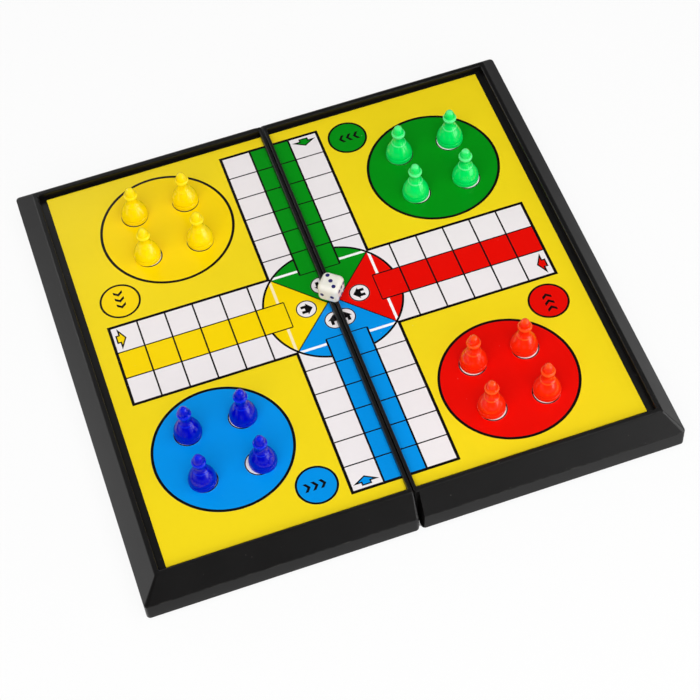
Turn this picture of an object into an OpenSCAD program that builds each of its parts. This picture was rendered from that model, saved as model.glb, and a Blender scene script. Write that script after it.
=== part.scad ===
// Folding magnetic ludo board. Two hollow half trays turn on pinned hinges along the fold and close
// with their undersides together, which makes a case for the loose pieces. A steel plate and a
// printed sheet lie in a recess on the playing face of each half. Sixteen pawns with a magnet in the
// base stand on the sheets, and a die lies across the fold.
// Millimetres, +Z up. X runs across the fold and Y along it. The origin is on the table, under the
// middle of the fold.

/* [Board] */
// Width of the open board, across both halves
board_w = 250; // [235:1:300]
// Depth of the board, along the fold
board_d = 237; // [225:1:300]
// Height of each half, from its closing edge to its rim
shell_h = 19.9; // [17:0.1:26]
// Height of the upright skirt, from the closing edge to the bevel
skirt_h = 10.3; // [7:0.1:12]
// Horizontal run of the bevel, from skirt to rim
bevel_run = 8.3; // [5:0.1:10]
// Width of the flat rim along the three outer sides
rim_w = 2.2; // [1.6:0.1:3]
// Thickness of the skirts
wall = 2; // [1.6:0.1:2.6]
// Width of the flat rims along the fold
seam_rim = 1.7; // [1.2:0.1:2.6]
// Gap between the rims along the fold when the board is open
seam_gap = 0.5; // [0.4:0.1:1.2]
// How far each centre wall draws back from the fold below its rim
seam_draft = 0.3; // [0.1:0.05:0.6]
// Thickness of the centre walls
seam_wall = 1.9; // [1.6:0.1:3]
// Thickness of the tray floor under the playing face
floor_t = 2; // [1.5:0.1:3]
// Depth of the playing face below the rim
play_depth = 2.85; // [1.5:0.05:4]
// Radius of the upright corners of the skirt
corner_r = 1.8; // [1:0.1:4]
// Radius of the corners of the rim and the recess
rim_corner_r = 0.8; // [0.4:0.1:1.5]
// Rounding of the skirt's lower edge
edge_r = 0.9; // [0.3:0.1:1.5]
// Radius of the corners inside the tray
tray_corner_r = 1.5; // [0.8:0.1:4]

/* [Playing face] */
// Thickness of the printed sheet
sheet_t = 0.35; // [0.2:0.05:0.6]
// Thickness of the steel plate under it
plate_t = 0.4; // [0.3:0.05:0.8]
// How far the plate's edges lie inside the sheet's edges
plate_inset = 1; // [0.5:0.1:3]
// Bare ledge beside the sheet, along the outer side
side_ledge = 3.5; // [1:0.1:5]
// Bare ledge beside the sheet, along the front and the back
end_ledge = 1.8; // [0.8:0.1:4]
// Gap between the sheet and the rim along the fold
seam_ledge = 0.1; // [0.05:0.05:0.5]
// How far each half of the print runs on past the print's middle line, at the fold
print_bleed = 0.5; // [0:0.05:1.5]

/* [Hinge] */
// Diameter of the hinge pins
pin_d = 1.6; // [1.2:0.1:1.8]
// Outer diameter of the knuckles
knuckle_d = 3.4; // [3:0.1:3.6]
// Length of each knuckle
knuckle_l = 8; // [5:0.5:14]
// Distance from the middle of each hinge to the nearer end of the board
hinge_inset = 36; // [24:1:45]
// Clearance round a knuckle in the opposite wall, and between knuckles
hinge_clear = 0.3; // [0.2:0.05:0.4]
// Radial running clearance of the pin in the right half's knuckles
pin_clear = 0.05; // [0.02:0.01:0.1]
// Radial clearance of the pin in the left half's knuckles, which hold it
pin_grip = 0.01; // [0.005:0.005:0.015]

/* [Closing tabs] */
// How far the tabs, which are also the feet, reach past the knuckles
foot_clear = 0.1; // [0.05:0.05:0.5]
// Width of a tab along its skirt
tab_w = 18; // [8:1:22]
// Thickness of a tab
tab_t = 1.6; // [1.2:0.1:2.5]
// Height of the root that joins a tab to its own skirt
tab_root_h = 5; // [3:0.5:6]
// Clearance between a tab and the other half's skirt in the closed case
tab_clear = 0.3; // [0.2:0.05:0.5]
// Gap between the closing edges in the closed case
closing_gap = 0.1; // [0.05:0.05:0.3]
// Place of the left half's side tabs, from the middle of the fold
left_tab_y = 70; // [64:1:90]
// Place of the right half's side tabs, from the middle of the fold
right_tab_y = 35; // [15:1:40]
// Place of the left half's end tabs, from the fold
left_tab_x = 25; // [16:1:26]
// Place of the right half's end tabs, from the fold
right_tab_x = 50; // [49:1:80]

/* [Pawns] */
// Height of a pawn
pawn_h = 21.2; // [20:0.1:26]
// Diameter of the foot
foot_d = 12.8; // [11:0.1:15]
// Height of the foot
foot_h = 2.5; // [1:0.1:3]
// Rounding of the foot's edges and of the bell's lower edge
foot_r = 0.4; // [0.1:0.05:0.45]
// Diameter of the bell-shaped body where it meets the foot
bell_d = 12.5; // [10.4:0.1:12.8]
// How far the bell bulges: 1 is a straight cone, 2 a full curve
bell_curve = 1.6; // [1:0.1:2.4]
// Height of the shoulder at the top of the bell
shoulder_z = 9.4; // [8:0.1:11]
// Diameter of the collar on the shoulder
collar_d = 7.1; // [6:0.1:8]
// Height of the collar
collar_h = 0.6; // [0.4:0.1:1]
// Diameter of the neck at its narrowest
neck_d = 4.1; // [3.6:0.1:5.4]
// Height at which the neck is narrowest
neck_z = 13.2; // [12.5:0.1:14]
// Height of the underside of the head
head_low_z = 14.4; // [14.2:0.1:15.3]
// Height at which the brim of the head is widest
head_z = 16.1; // [15.7:0.1:17]
// Diameter of the brim of the head
head_d = 6.6; // [6:0.1:8]
// Diameter of the dome where it rises from the brim
dome_d = 5.2; // [4.6:0.1:5.9]
// Height of the brim's rounded upper side
brim_h = 0.9; // [0.3:0.1:1.2]
// Diameter of the magnet in the foot
magnet_d = 8; // [5:0.5:9]
// Thickness of the magnet
magnet_t = 2; // [1:0.1:3]
// How far the magnet sits above the foot's underside
magnet_lift = 0.2; // [0.1:0.05:0.4]
// Radial clearance of the magnet in its pocket
magnet_clear = 0.05; // [0.02:0.01:0.1]
// Distance between neighbouring pawn spots in a base
spot_pitch = 25.4; // [17:0.1:28]
// Distance from the print's centre to a base's centre, the longer way
base_far = 68.4; // [60:0.1:72]
// Distance from the print's centre to a base's centre, the shorter way
base_near = 58.1; // [50:0.1:62]

/* [Die] */
// Side of the die
die_s = 10.4; // [8:0.1:16]
// Rounding of the die's edges
die_r = 2.5; // [0.8:0.1:2.6]
// Diameter of a pip
pip_d = 2; // [1.2:0.1:2.2]
// Depth of a pip
pip_depth = 0.4; // [0.2:0.05:0.6]
// Distance of the outer pips from the middle of a face
pip_pitch = 2.5; // [2.4:0.1:2.8]
// Place of the die on the fold, to the right of the middle
die_x = 0.25; // [-1:0.05:1]
// Place of the die on the fold, behind the middle
die_y = 2; // [-10:0.05:10]
// Turn of the die on the rims
die_turn = -40.5; // [-180:0.5:180]

/* [Hidden] */
TEAMS = ["yellow", "green", "red", "blue"];
TEAM_COLOURS = ["gold", "springgreen", "orangered", "mediumblue"];
SEATS = [1, 2, 3, 4];
PAWN_NODES = [for (team = TEAMS, seat = SEATS) str(team, "_pawn_", seat)];
MAGNET_NODES = [for (team = TEAMS, seat = SEATS) str(team, "_magnet_", seat)];
BOARD_NODES = [
    "left_shell", "right_shell", "left_steel_plate", "right_steel_plate", "left_print_sheet",
    "right_print_sheet", "front_hinge_pin", "rear_hinge_pin", "die"
];

// Smoothness of round shapes, of the posts inside hulls and of curved stretches of an outline
$fn = 64;
hull_fn = 32;
curve_steps = 8;
// Powers that shape the dome of a pawn's head
dome_point = 1.7;
dome_round = 0.5;
// Overlap that joins or clears cut faces
cut = 1;
// Thickness of a thin slice inside a hull, and the angle between the slices of a rounded edge
slice = 0.05;
edge_step = 30;

half_w = board_w / 2;
half_d = board_d / 2;
// Planes of the rims' edges along the fold, and of the centre walls under them
seam_x = seam_gap / 2;
centre_x = seam_x + seam_draft;
// Plane in which the halves close, which holds the hinge axis
axis_z = knuckle_d / 2 + foot_clear;
shell_bottom = axis_z + closing_gap / 2;
skirt_top = axis_z + skirt_h;
rim_z = axis_z + shell_h;
// Playing face, underside of the sheet, floor of the recess and ceiling of the tray
play_z = rim_z - play_depth;
plate_top = play_z - sheet_t;
recess_z = plate_top - plate_t;
ceiling_z = recess_z - floor_t;
// Inside edges of the recess
recess_in = seam_x + seam_rim;
recess_out = half_w - bevel_run - rim_w;
recess_end = half_d - bevel_run - rim_w;
// Edges of the printed sheet
sheet_in = recess_in + seam_ledge;
sheet_out = recess_out - side_ledge;
sheet_end = recess_end - end_ledge;
// How far the bevel has drawn in at the tray's ceiling
ceiling_inset = bevel_run * max(0, ceiling_z - skirt_top) / (rim_z - skirt_top);

// Hinges: their places along the fold, and the knuckles of each half about those places
hinge_y = half_d - hinge_inset;
knuckle_step = knuckle_l + hinge_clear;
RIGHT_KNUCKLES = [0];
LEFT_KNUCKLES = [-knuckle_step, knuckle_step];
pin_l = 3 * knuckle_l;
hinge_l = 2 * knuckle_step + knuckle_l;
pin_r = pin_d / 2;
knuckle_r = knuckle_d / 2;

// Grid places of the pips on a face, by the face's value
PIPS = [
    [[0, 0]],
    [[-1, 0], [1, 0]],
    [[-1, 1], [0, 0], [1, -1]],
    [[-1, -1], [-1, 1], [1, -1], [1, 1]],
    [[-1, -1], [-1, 1], [0, 0], [1, -1], [1, 1]],
    [[-1, -1], [-1, 0], [-1, 1], [1, -1], [1, 0], [1, 1]]
];
// Rotation that carries the die's upper face to the face of each value
FACE_TURNS = [[0, -90, 0], [90, 0, 0], [0, 0, 0], [180, 0, 0], [-90, 0, 0], [0, 90, 0]];

// Where each pawn of a team stands off the middle of its spot, as set down by hand
SET_DOWN = [
    [[0.2, 0.3], [0.1, 0.3], [-0.5, 0.4], [0.2, 0.3]],
    [[-0.2, 0.2], [0.8, 0.5], [-0.7, 0.5], [-0.6, 0.7]],
    [[0.6, 0.7], [-0.2, 0.9], [-0.5, 0.8], [0.5, 0.5]],
    [[0.3, 0.3], [0.7, 0.1], [-0.5, 0.1], [1.8, -0.2]]
];

// Turns a point of the print about its centre by quarter turns, clockwise
function quarter_turn(p, turns) = turns == 0 ? p : quarter_turn([p[1], -p[0]], turns - 1);

// Moves a point of the undivided print out to the half that it is printed on
function across_seam(p) = [p[0] + sign(p[0]) * (sheet_in + print_bleed), p[1]];

// Middle of a team's base circle
function base_centre(team) = across_seam(quarter_turn([-base_near, base_far], team));

// Place of a pawn: seats run from back left to front right
function pawn_place(team, seat) =
    base_centre(team) + SET_DOWN[team][seat]
    + spot_pitch / 2 * [seat % 2 == 0 ? -1 : 1, seat < 2 ? 1 : -1];

// Quarter of an ellipse from angle a0 to a1 about a middle, as points of an outline
function curve(mid, half_axes, a0, a1) = [
    for (i = [0 : curve_steps])
        let (a = a0 + (a1 - a0) * i / curve_steps)
            mid + [half_axes[0] * cos(a), half_axes[1] * sin(a)]
];

// Outline drawn in from radius r0 at z0 to r1 at z1: bulging like a bell, or hollow like a neck
function bulged(r0, r1, z0, z1) = [
    for (i = [1 : curve_steps])
        let (t = i / curve_steps)
            [r1 + (r0 - r1) * (1 - pow(t, bell_curve)), z0 + (z1 - z0) * t]
];
function hollowed(r0, r1, z0, z1) = [
    for (i = [1 : curve_steps])
        let (t = i / curve_steps)
            [r1 + (r0 - r1) * (1 - t) * (1 - t), z0 + (z1 - z0) * t]
];

// Outline of a slightly pointed dome of a radius, from its foot at z0 to its top at z1
function dome(radius, z0, z1) = [
    for (i = [1 : 2 * curve_steps])
        let (t = sin(90 * i / (2 * curve_steps)))
            [radius * pow(max(0, 1 - pow(t, dome_point)), dome_round), z0 + (z1 - z0) * t]
];

// Four upright posts at the corners of a half's plan
module corner_posts(inner, outer, end, radius, z, height) {
    for (x = [inner + radius, outer - radius], y = [radius - end, end - radius])
        translate([x, y, z])
            cylinder(r = radius, h = height, $fn = hull_fn);
}

// Block with rounded upright corners
module rounded_block(inner, outer, end, radius, z, height) {
    translate([inner + radius, -end, z])
        cube([outer - inner - 2 * radius, 2 * end, height]);
    translate([inner, radius - end, z])
        cube([outer - inner, 2 * (end - radius), height]);
    for (x = [inner + radius, outer - radius], y = [radius - end, end - radius])
        translate([x, y, z])
            cylinder(r = radius, h = height);
}

// Outer form of the right half: rounded lower edge, upright skirt, bevel and rim
module shell_form() {
    hull() {
        for (a = [0 : edge_step : 90 - edge_step]) {
            draw = edge_r * (1 - sin(a));
            corner_posts(centre_x, half_w - draw, half_d - draw, corner_r,
                shell_bottom + edge_r * (1 - cos(a)), slice);
        }
        corner_posts(centre_x, half_w, half_d, corner_r,
            shell_bottom + edge_r, skirt_top - shell_bottom - edge_r);
        corner_posts(seam_x, half_w - bevel_run, half_d - bevel_run, rim_corner_r,
            rim_z - slice, slice);
    }
}

// Hollow under the floor, which follows the bevel
module tray_hollow() {
    tray_in = centre_x + seam_wall;
    tray_out = half_w - wall;
    tray_end = half_d - wall;
    upright_top = min(skirt_top, ceiling_z - slice);
    hull() {
        corner_posts(tray_in, tray_out, tray_end, tray_corner_r,
            shell_bottom - cut, upright_top - shell_bottom + cut);
        corner_posts(tray_in, tray_out - ceiling_inset, tray_end - ceiling_inset, tray_corner_r,
            ceiling_z - slice, slice);
    }
}

// Cylinder about the hinge axis, centred on a place along the fold
module on_axis(y, length, radius) {
    translate([0, y - length / 2, axis_z])
        rotate([-90, 0, 0])
            cylinder(r = radius, h = length);
}

// Tab on the inside of a skirt whose inner face is at x = 0 and whose tray is towards -x
module closing_tab() {
    translate([-tab_clear - tab_t, -tab_w / 2, 0])
        cube([tab_t, tab_w, axis_z + tab_root_h]);
    translate([-tab_clear - tab_t, -tab_w / 2, shell_bottom])
        cube([tab_clear + tab_t + wall / 2, tab_w, tab_root_h]);
}

// The four tabs of the right half
module closing_tabs(side_y, end_x) {
    for (side = [-1, 1]) {
        translate([half_w - wall, side * side_y, 0])
            closing_tab();
        translate([end_x, side * (half_d - wall), 0])
            rotate([0, 0, side * 90])
                closing_tab();
    }
}

// One half tray, drawn on the right of the fold: own and other are knuckle places about a hinge
module half_shell(own, other, bore_r, side_y, end_x) {
    difference() {
        union() {
            difference() {
                shell_form();
                tray_hollow();
                rounded_block(recess_in, recess_out, recess_end, rim_corner_r, recess_z,
                    rim_z - recess_z + cut);
                for (hinge = [-hinge_y, hinge_y], place = other)
                    on_axis(hinge + place, knuckle_l + 2 * hinge_clear, knuckle_r + hinge_clear);
            }
            for (hinge = [-hinge_y, hinge_y], place = own)
                on_axis(hinge + place, knuckle_l, knuckle_r);
            closing_tabs(side_y, end_x);
        }
        for (hinge = [-hinge_y, hinge_y])
            on_axis(hinge, hinge_l + 2 * hinge_clear, bore_r);
        pin_bays();
    }
}

// Grooves beside the hinges, in which the pins are laid to be pushed into the knuckles
module pin_bays() {
    bay_l = pin_l + 2 * hinge_clear;
    bay_y = hinge_y - (hinge_l + bay_l) / 2;
    for (y = [-bay_y, bay_y])
        on_axis(y, bay_l, pin_r + pin_clear);
}

module left_shell() {
    color("#1c1b1c")
        mirror([1, 0, 0])
            half_shell(LEFT_KNUCKLES, RIGHT_KNUCKLES, pin_r + pin_grip, left_tab_y, left_tab_x);
}

module right_shell() {
    color("#1c1b1c")
        half_shell(RIGHT_KNUCKLES, LEFT_KNUCKLES, pin_r + pin_clear, right_tab_y, right_tab_x);
}

// Steel plate of the right half
module steel_plate() {
    color("silver")
        translate([sheet_in + plate_inset, plate_inset - sheet_end, recess_z])
            cube([sheet_out - sheet_in - 2 * plate_inset, 2 * (sheet_end - plate_inset), plate_t]);
}

// Printed sheet of the right half
module print_sheet() {
    color("#f2d500")
        translate([sheet_in, -sheet_end, plate_top])
            cube([sheet_out - sheet_in, 2 * sheet_end, sheet_t]);
}

module hinge_pin(y) {
    color("gainsboro")
        on_axis(y, pin_l, pin_r);
}

// Outline of a pawn from its axis out and up: foot, bell, collar, neck and head
module pawn_outline() {
    foot_out = foot_d / 2;
    bell_r = bell_d / 2;
    bell_low = foot_h + foot_r;
    collar_r = collar_d / 2;
    neck_r = neck_d / 2;
    dome_r = dome_d / 2;
    bead = collar_h / 2;
    collar_in = collar_r - bead;
    collar_top = shoulder_z + collar_h;
    polygon(concat(
        [[0, 0]],
        curve([foot_out - foot_r, foot_r], [foot_r, foot_r], -90, 0),
        curve([foot_out - foot_r, foot_h - foot_r], [foot_r, foot_r], 0, 90),
        curve([bell_r - foot_r, bell_low], [foot_r, foot_r], -90, 0),
        bulged(bell_r, collar_in, bell_low, shoulder_z),
        curve([collar_in, shoulder_z + bead], [bead, bead], -90, 90),
        hollowed(collar_in, neck_r, collar_top, neck_z),
        curve([neck_r, head_z], [head_d / 2 - neck_r, head_z - head_low_z], -90, 0),
        curve([dome_r, head_z], [head_d / 2 - dome_r, brim_h], 0, 90),
        dome(dome_r, head_z + brim_h, pawn_h)
    ));
}

module pawn(team, seat) {
    color(TEAM_COLOURS[team])
        translate(concat(pawn_place(team, seat), play_z))
            difference() {
                rotate_extrude()
                    pawn_outline();
                translate([0, 0, -cut])
                    cylinder(d = magnet_d + 2 * magnet_clear, h = cut + magnet_lift + magnet_t);
            }
}

module magnet(team, seat) {
    color("dimgray")
        translate(concat(pawn_place(team, seat), play_z + magnet_lift))
            cylinder(d = magnet_d, h = magnet_t);
}

// Cube with rounded edges, standing on z = 0
module die_form() {
    reach = die_s / 2 - die_r;
    hull()
        for (x = [-reach, reach], y = [-reach, reach], z = [-reach, reach])
            translate([x, y, z + die_s / 2])
                sphere(r = die_r, $fn = hull_fn);
}

// Shallow round pips on all six faces
module die_pips() {
    ball_r = (pow(pip_d / 2, 2) + pow(pip_depth, 2)) / (2 * pip_depth);
    translate([0, 0, die_s / 2])
        for (face = [0 : len(PIPS) - 1])
            rotate(FACE_TURNS[face])
                for (spot = PIPS[face])
                    translate(concat(pip_pitch * spot, die_s / 2 + ball_r - pip_depth))
                        sphere(r = ball_r);
}

module die() {
    color("ivory")
        translate([die_x, die_y, rim_z])
            rotate([0, 0, die_turn])
                difference() {
                    die_form();
                    die_pips();
                }
}

left_shell();
right_shell();
mirror([1, 0, 0]) steel_plate();  // left_steel_plate
steel_plate();  // right_steel_plate
mirror([1, 0, 0]) print_sheet();  // left_print_sheet
print_sheet();  // right_print_sheet
hinge_pin(-hinge_y);  // front_hinge_pin
hinge_pin(hinge_y);  // rear_hinge_pin
die();
for (team = [0 : len(TEAMS) - 1], seat = [0 : len(SEATS) - 1]) {
    pawn(team, seat);
    magnet(team, seat);
}
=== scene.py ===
from math import atan2, cos, pi, radians, sin, sqrt, tan

import bmesh
import bpy
from bpy.props import FloatProperty, FloatVectorProperty, IntProperty, PointerProperty
from mathutils import Matrix, Vector


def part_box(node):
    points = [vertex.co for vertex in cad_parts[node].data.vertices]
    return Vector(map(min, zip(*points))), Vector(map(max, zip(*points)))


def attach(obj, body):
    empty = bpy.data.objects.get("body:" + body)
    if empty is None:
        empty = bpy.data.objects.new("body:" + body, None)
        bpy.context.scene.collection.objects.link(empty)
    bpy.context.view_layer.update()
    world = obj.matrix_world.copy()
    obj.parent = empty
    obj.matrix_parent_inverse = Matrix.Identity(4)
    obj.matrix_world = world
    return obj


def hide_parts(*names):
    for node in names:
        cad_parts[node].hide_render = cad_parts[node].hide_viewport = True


bl_info = {
    "name": "Folding ludo board",
    "version": (1, 0, 0),
    "blender": (4, 5, 0),
    "location": "View3D > Sidebar > Ludo",
    "description": "Dresses a folding magnetic ludo board: trays, print, hinge pins, pawns and die",
    "category": "Object",
}

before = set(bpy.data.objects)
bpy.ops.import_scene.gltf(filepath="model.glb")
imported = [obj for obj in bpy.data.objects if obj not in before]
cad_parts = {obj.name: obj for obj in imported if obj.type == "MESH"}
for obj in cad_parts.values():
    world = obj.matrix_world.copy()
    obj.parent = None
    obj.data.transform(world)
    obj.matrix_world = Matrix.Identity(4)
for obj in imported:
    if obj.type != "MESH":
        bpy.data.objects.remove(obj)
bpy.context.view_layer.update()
MM = 0.001
TEAMS = ("yellow", "green", "red", "blue")
SEATS = (1, 2, 3, 4)
INKS = ("Ground", "Cells", "Line", "Yellow", "Green", "Red", "Blue")
WHITE = (1.0, 1.0, 1.0, 1.0)
SHELL_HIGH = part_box("right_shell")[1]
SHEET_LOW, SHEET_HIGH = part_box("right_print_sheet")
PIN_LOW, PIN_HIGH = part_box("rear_hinge_pin")
PIN_RADIUS = (PIN_HIGH.x - PIN_LOW.x) / 2
DIE_MIDDLE = sum(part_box("die"), Vector()) / 2


# Properties that a user would change


def length(name, description, millimetres):
    """A size in the panel, given here in millimetres."""
    return FloatProperty(
        name=name, description=description, default=millimetres * MM,
        subtype="DISTANCE", unit="LENGTH", precision=5,
    )


def angle(name, description, degrees):
    """An angle in the panel, given here in degrees."""
    return FloatProperty(
        name=name, description=description, default=radians(degrees),
        subtype="ANGLE", unit="ROTATION",
    )


def share(name, description, default):
    """A plain number in the panel."""
    return FloatProperty(name=name, description=description, default=default)


def linear(display):
    """Linear light of one display value from 0 to 255."""
    value = display / 255
    return value / 12.92 if value <= 0.04045 else ((value + 0.055) / 1.055) ** 2.4


def colour(name, description, *display):
    """A colour in the panel, given here as display values."""
    return FloatVectorProperty(
        name=name, description=description, subtype="COLOR", size=3, min=0, max=1,
        default=[linear(value) for value in display],
    )


class TraySizes(bpy.types.PropertyGroup):
    """Sizes and finish of the two half trays."""

    closing_height: length("Closing height", "Height of the hinge axis above the table", 1.8)
    skirt_height: length("Skirt height", "Top of the upright skirt above the closing plane", 10.3)
    bevel_run: length("Bevel run", "How far the bevel draws in from skirt to rim", 8.3)
    rim_width: length("Rim width", "Flat rim along the three outer sides", 2.2)
    wall: length("Wall", "Thickness of the skirts", 2)
    seam_wall: length("Seam wall", "Thickness of the walls along the fold", 1.9)
    seam_gap: length("Seam gap", "Gap between the two halves along the fold", 0.5)
    seam_rim: length("Seam rim", "Width of the flat rims along the fold", 1.7)
    seam_draft: length("Seam draft", "How far each centre wall draws back below its rim", 0.3)
    seam_round: length("Seam rounding", "Rounding of the rims towards the fold", 0.6)
    floor_height: length("Recess floor", "Recess floor below the rim", 3.6)
    floor_thickness: length("Floor", "Thickness of the floor under the recess", 2)
    corner_radius: length("Skirt corners", "Radius of the upright corners", 1.8)
    rim_corner_radius: length("Rim corners", "Radius of the rim and recess corners", 0.8)
    tray_corner_radius: length("Tray corners", "Radius of the corners inside the tray", 1.5)
    relief: length("Relief", "Width of the relief at one end of each fold side", 1.95)
    lower_edge: length("Lower edge", "Rounding of the skirt's lower edge", 0.9)
    bevel_edge: length("Bevel edge", "Rounding between skirt and bevel", 0.8)
    rim_edge: length("Rim edge", "Rounding between bevel and rim", 1.0)
    inner_edge: length("Inner edge", "Rounding of the rim towards the recess", 0.55)
    knuckle_radius: length("Knuckle radius", "Outer radius of the hinge knuckles", 1.7)
    knuckle_length: length("Knuckle length", "Length of one knuckle", 8)
    hinge_clearance: length("Hinge clearance", "Gap round and between the knuckles", 0.3)
    running_clearance: length("Running clearance", "Gap of a pin in the right half", 0.05)
    holding_clearance: length("Holding clearance", "Gap of a pin in the left half", 0.01)
    tab_width: length("Tab width", "Width of a closing tab", 18)
    tab_thickness: length("Tab thickness", "Thickness of a closing tab", 1.6)
    tab_root: length("Tab root", "Height of a tab's root on its skirt", 5)
    tab_clearance: length("Tab clearance", "Gap between a tab and the other skirt", 0.3)
    left_tab_side: length("Left side tabs", "Place of the left half's side tabs", 70)
    right_tab_side: length("Right side tabs", "Place of the right half's side tabs", 35)
    left_tab_end: length("Left end tabs", "Place of the left half's end tabs", 25)
    right_tab_end: length("Right end tabs", "Place of the right half's end tabs", 50)
    black: colour("Black plastic", "Colour of the moulded trays", 13, 12, 12)
    # Dust colour, also used for the painted highlight along the edge between skirt and bevel
    dust: colour("Dust", "Colour of settled dust", 150, 146, 140)


class PrintSizes(bpy.types.PropertyGroup):
    """Plan and inks of the printed playing sheets."""

    base_far: length("Base, far", "Base circle from the centre, the longer way", 68.4)
    base_near: length("Base, near", "Base circle from the centre, the shorter way", 58.1)
    base_radius: length("Base radius", "Outer radius of a base circle", 32.3)
    base_line: length("Base line", "Thickness of a base circle's line", 1.3)
    spot_step: length("Spot step", "Pawn spot from the base's centre, each way", 12.7)
    spot_radius: length("Spot radius", "Outer radius of a pawn spot", 6.45)
    start_far: length("Start, far", "Start circle from the centre, the longer way", 90.5)
    start_near: length("Start, near", "Start circle from the centre, the shorter way", 35.4)
    start_radius: length("Start radius", "Outer radius of a start circle", 9.7)
    arm_end: length("Arm end", "Outer end of an arm from the centre", 99.7)
    arm_half: length("Arm half width", "Half the width of an arm", 22.05)
    arm_line: length("Arm line", "Thickness of an arm's outline", 1.4)
    lane_half: length("Lane half width", "Half the width of the coloured lane", 7.35)
    lane_end: length("Lane end", "Inner end of the coloured lane", 19.3)
    cell_step: length("Cell step", "Length of one cell", 13.4)
    cell_line: length("Cell line", "Thickness of the lines between cells, front and back", 0.66)
    side_line: length("Side cell line", "Thickness of the lines between cells, left and right", 0.8)
    lane_line: length("Lane line", "Thickness of a lane's edges, front and back", 0.92)
    start_line: length("Start line", "Thickness of a start circle's line", 1.0)
    arrow_line: length("Arrow line", "Thickness of an arrow's outline", 0.7)
    thin_line: length("Thin line", "Thickness of the finest outlines", 0.54)
    centre_radius: length("Centre radius", "Radius of the centre circle", 30.1)
    centre_line: length("Centre line", "Thickness of the centre circle's line", 1.05)
    square_half: length("Square half width", "Place of the white lines in the centre", 21.9)
    square_line: length("Square line", "Thickness of the white lines", 1.3)
    home_place: length("Home disc", "Home disc from the centre", 10.45)
    home_radius: length("Home radius", "Outer radius of a home disc", 4.9)
    arrow_along: length("Arrow, along", "Arrow from the centre, along the arm", 95.75)
    arrow_across: length("Arrow, across", "Arrow from the arm's middle", 14.7)
    bleed: length("Bleed", "Strip along the fold that repeats the plan's edge", 0.5)
    ink_edge: length("Ink edge", "Width over which an ink fades at its edge", 0.07)
    ground: colour("Ground", "Yellow ground of the sheet", 245, 217, 26)
    cells: colour("Cells", "Off-white of cells and spots", 240, 234, 235)
    line: colour("Lines", "Black of all lines", 14, 11, 12)
    yellow: colour("Yellow", "Yellow team's ink", 251, 215, 0)
    green: colour("Green", "Green team's ink", 0, 144, 18)
    red: colour("Red", "Red team's ink", 232, 8, 0)
    blue: colour("Blue", "Blue team's ink", 0, 146, 231)


class PawnSizes(bpy.types.PropertyGroup):
    """Turned outline and plastics of the pawns."""

    height: length("Height", "Height of a pawn", 21.2)
    foot_radius: length("Foot radius", "Radius of the foot", 6.4)
    foot_height: length("Foot height", "Height of the foot", 2.5)
    foot_round: length("Foot rounding", "Rounding of the foot's and bell's edges", 0.4)
    bell_radius: length("Bell radius", "Radius of the bell where it meets the foot", 6.25)
    bell_curve: share("Bell curve", "How far the bell bulges; 1 is a straight cone", 1.6)
    shoulder: length("Shoulder", "Height of the shoulder", 9.4)
    collar_radius: length("Collar radius", "Radius of the collar", 3.55)
    collar_height: length("Collar height", "Height of the collar", 0.6)
    neck_radius: length("Neck radius", "Radius of the neck at its narrowest", 2.05)
    neck: length("Neck", "Height at which the neck is narrowest", 13.2)
    head_low: length("Head underside", "Height of the head's underside", 14.4)
    head_wide: length("Head, widest", "Height at which the brim is widest", 16.1)
    head_radius: length("Brim radius", "Radius of the head's brim", 3.3)
    brim_height: length("Brim height", "Height of the brim's rounded upper side", 0.9)
    dome_radius: length("Dome radius", "Radius of the dome where it leaves the brim", 2.6)
    dome_point: share("Dome point", "How pointed the dome is; 2 is round", 1.7)
    dome_round: share("Dome rounding", "How blunt the dome's top is; 0.5 is round", 0.5)
    pocket_radius: length("Pocket radius", "Radius of the magnet's pocket", 4.05)
    pocket_depth: length("Pocket depth", "Depth of the magnet's pocket", 2.2)
    segments: IntProperty(name="Segments", description="Faces round a pawn", default=72, min=12)
    yellow: colour("Yellow", "Yellow pawns", 250, 217, 2)
    green: colour("Green", "Green pawns", 0, 226, 98)
    red: colour("Red", "Red pawns", 248, 40, 6)
    blue: colour("Blue", "Blue pawns", 0, 8, 188)
    # Paler tints painted on the pawns as painted glow and highlight, where light would shine through and
    # on the dome's top
    yellow_thin: colour("Yellow, thin", "Yellow pawns where light comes through", 253, 229, 40)
    green_thin: colour("Green, thin", "Green pawns where light comes through", 140, 255, 180)
    red_thin: colour("Red, thin", "Red pawns where light comes through", 255, 112, 36)
    blue_thin: colour("Blue, thin", "Blue pawns where light comes through", 16, 52, 240)


class DieSizes(bpy.types.PropertyGroup):
    """Form and finish of the die."""

    side: length("Side", "Side of the die", 10.4)
    rounding: length("Rounding", "Rounding of the edges", 2.5)
    pip_radius: length("Pip radius", "Radius of a painted pip", 1)
    pip_depth: length("Pip depth", "Depth of a pip", 0.4)
    pip_step: length("Pip step", "Outer pips from the middle of a face", 2.5)
    paint: length("Paint", "Thickness of the paint in a pip", 0.02)
    turn: angle("Turn", "How the die lies on the fold", -40.5)
    body: colour("Body", "Colour of the die", 236, 233, 222)
    pips: colour("Pips", "Colour of the painted pips", 26, 20, 96)


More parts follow.
